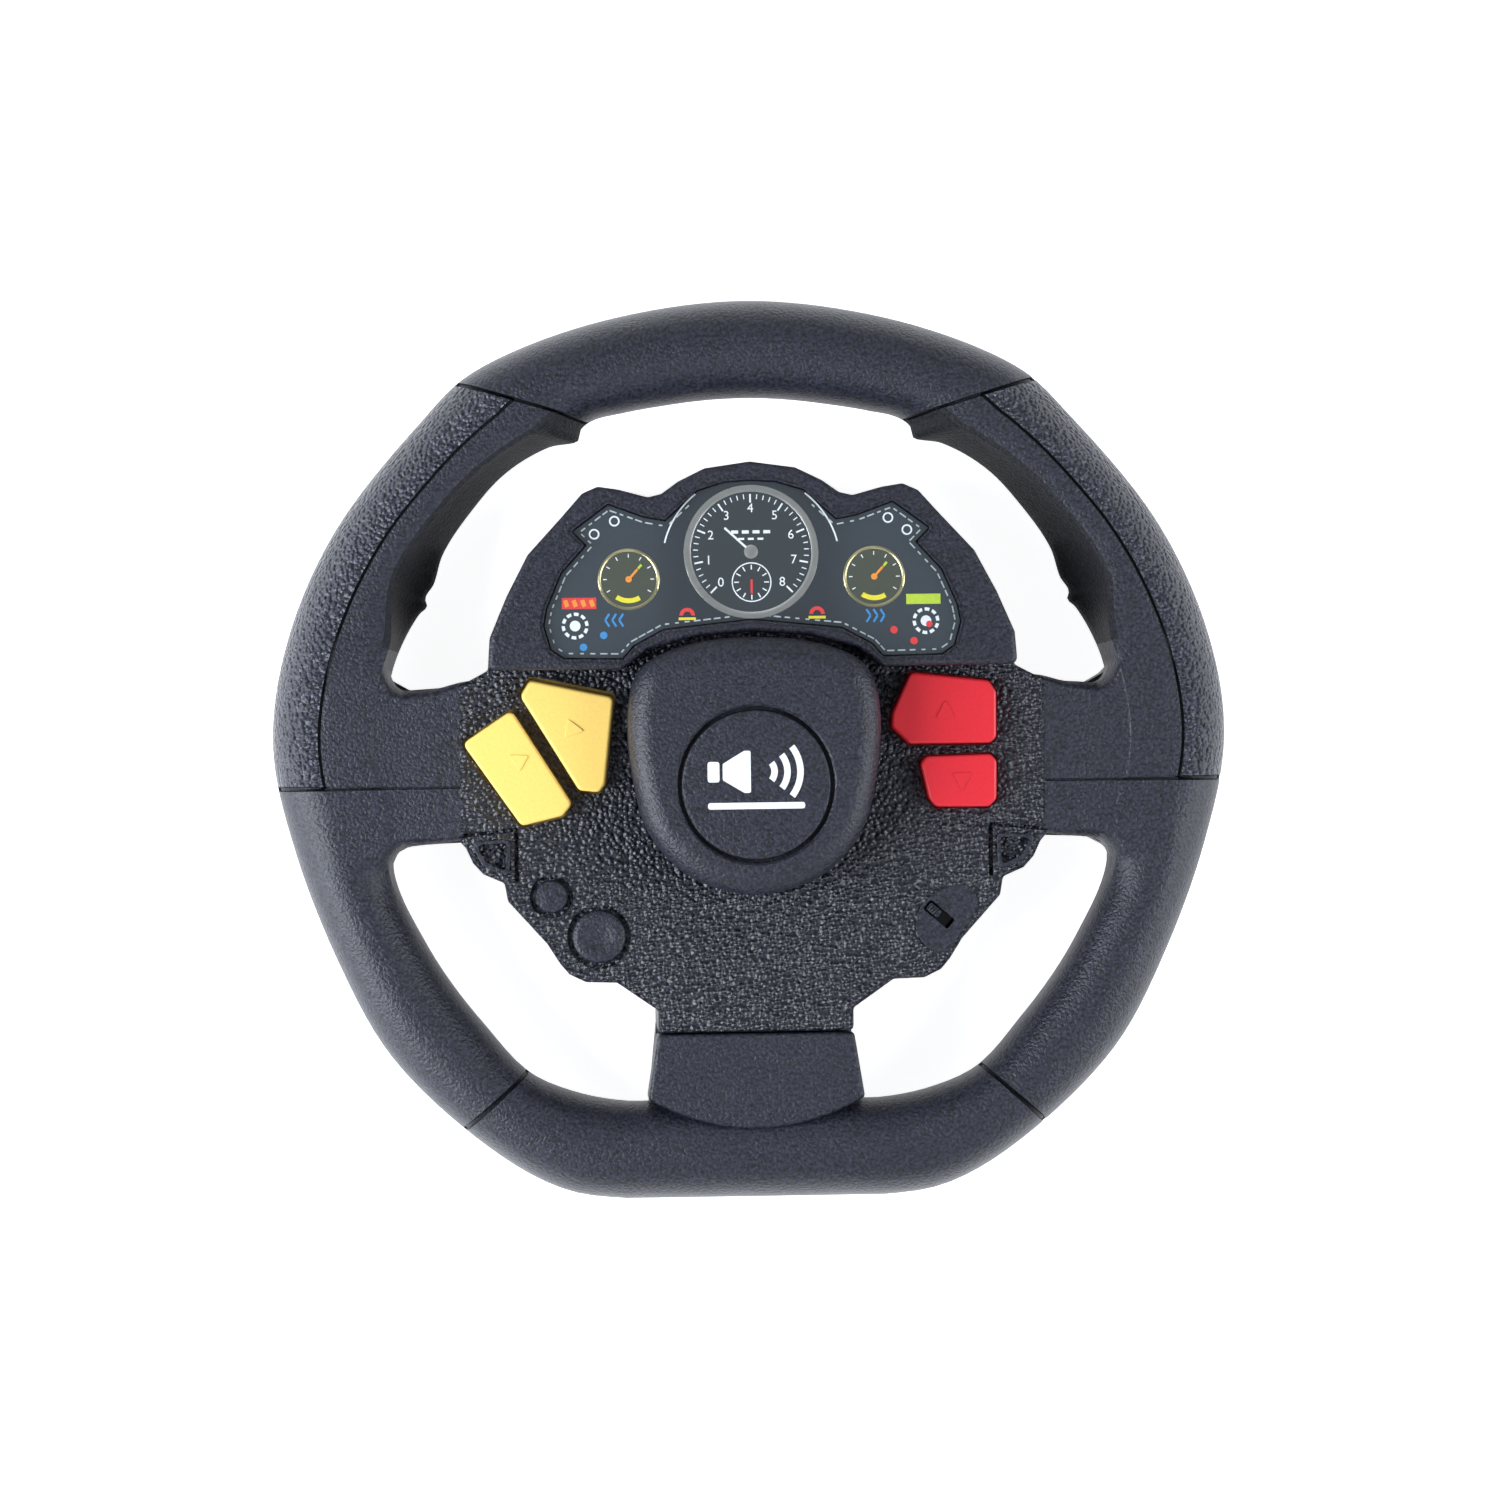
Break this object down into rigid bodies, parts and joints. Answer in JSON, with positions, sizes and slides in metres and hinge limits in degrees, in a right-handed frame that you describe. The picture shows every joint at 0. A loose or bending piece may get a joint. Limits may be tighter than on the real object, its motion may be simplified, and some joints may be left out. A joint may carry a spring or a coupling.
{
  "type": "radio transmitter controller",
  "caption": "Toy radio transmitter shaped as a flat-bottomed steering wheel, with a printed dash, a domed hub with a horn press and drive buttons on its spokes.",
  "frame": {"origin": "centre of the bounding box's base, on the surface that the battery housing's back rests on", "axes": "+Z out of the wheel's face, +Y to twelve o'clock, +X to three o'clock"},
  "size_m": [0.1798, 0.169, 0.0411],
  "materials": {
    "black_shell": "fine moulded grain, pebbled on the grips and the centre panel",
    "black_trim": "smooth satin",
    "yellow_button": "satin with softened edges",
    "red_button": "satin with softened edges",
    "printed_card": "printed instrument faces",
    "clear_lens": "clear moulded plastic",
    "keypad_rubber": "matt silicone",
    "circuit_board": "solder mask over copper",
    "chip_black": "moulded epoxy",
    "plated_can": "plated",
    "wire_sleeve": "satin",
    "cell_sleeve": "shrunk sleeve",
    "nickel_contact": "nickel plated",
    "screw_steel": "zinc plated"
  },
  "bodies": {
    "housing": {"front_shell": "black_shell", "rear_shell": "black_shell", "hub_cover": "black_trim", "dash_bezel": "black_trim", "dash_card": "printed_card", "dash_lens": "clear_lens", "steer_keypad": "keypad_rubber", "drive_keypad": "keypad_rubber", "horn_keypad": "keypad_rubber", "main_board": "circuit_board", "control_chip": "chip_black", "radio_chip": "chip_black", "crystal": "plated_can", "antenna_wire": "wire_sleeve", "power_switch": "plated_can", "battery_door": "black_shell", "door_screw": "screw_steel", "cell_upper": "cell_sleeve", "cell_lower": "cell_sleeve", "contact_bridge": "nickel_contact", "contact_positive": "nickel_contact", "contact_negative": "nickel_contact", "board_screw_1": "screw_steel", "board_screw_2": "screw_steel", "shell_screw_1": "screw_steel", "shell_screw_2": "screw_steel", "shell_screw_3": "screw_steel", "shell_screw_4": "screw_steel", "shell_screw_5": "screw_steel", "shell_screw_6": "screw_steel"},
    "steer_left": {"steer_left_button": "yellow_button"},
    "steer_right": {"steer_right_button": "yellow_button"},
    "forward": {"forward_button": "red_button"},
    "reverse": {"reverse_button": "red_button"},
    "horn": {"horn_button": "black_trim"},
    "switch_lever": {"power_switch_lever": "black_trim"}
  },
  "joints": [
    {"name": "steer_left_press", "type": "slide", "parent": "housing", "child": "steer_left", "axis": [0, 0, -1], "range_m": [0, 0.0012], "stiffness_N_per_m": 500},
    {"name": "steer_right_press", "type": "slide", "parent": "housing", "child": "steer_right", "axis": [0, 0, -1], "range_m": [0, 0.0012], "stiffness_N_per_m": 500},
    {"name": "forward_press", "type": "slide", "parent": "housing", "child": "forward", "axis": [0, 0, -1], "range_m": [0, 0.0012], "stiffness_N_per_m": 500},
    {"name": "reverse_press", "type": "slide", "parent": "housing", "child": "reverse", "axis": [0, 0, -1], "range_m": [0, 0.0012], "stiffness_N_per_m": 500},
    {"name": "horn_press", "type": "slide", "parent": "housing", "child": "horn", "axis": [0, 0, -1], "range_m": [0, 0.0012], "stiffness_N_per_m": 600},
    {"name": "power_slide", "type": "slide", "parent": "housing", "child": "switch_lever", "axis": [0.7547, -0.6561, 0], "range_m": [0, 0.0025]}
  ]
}
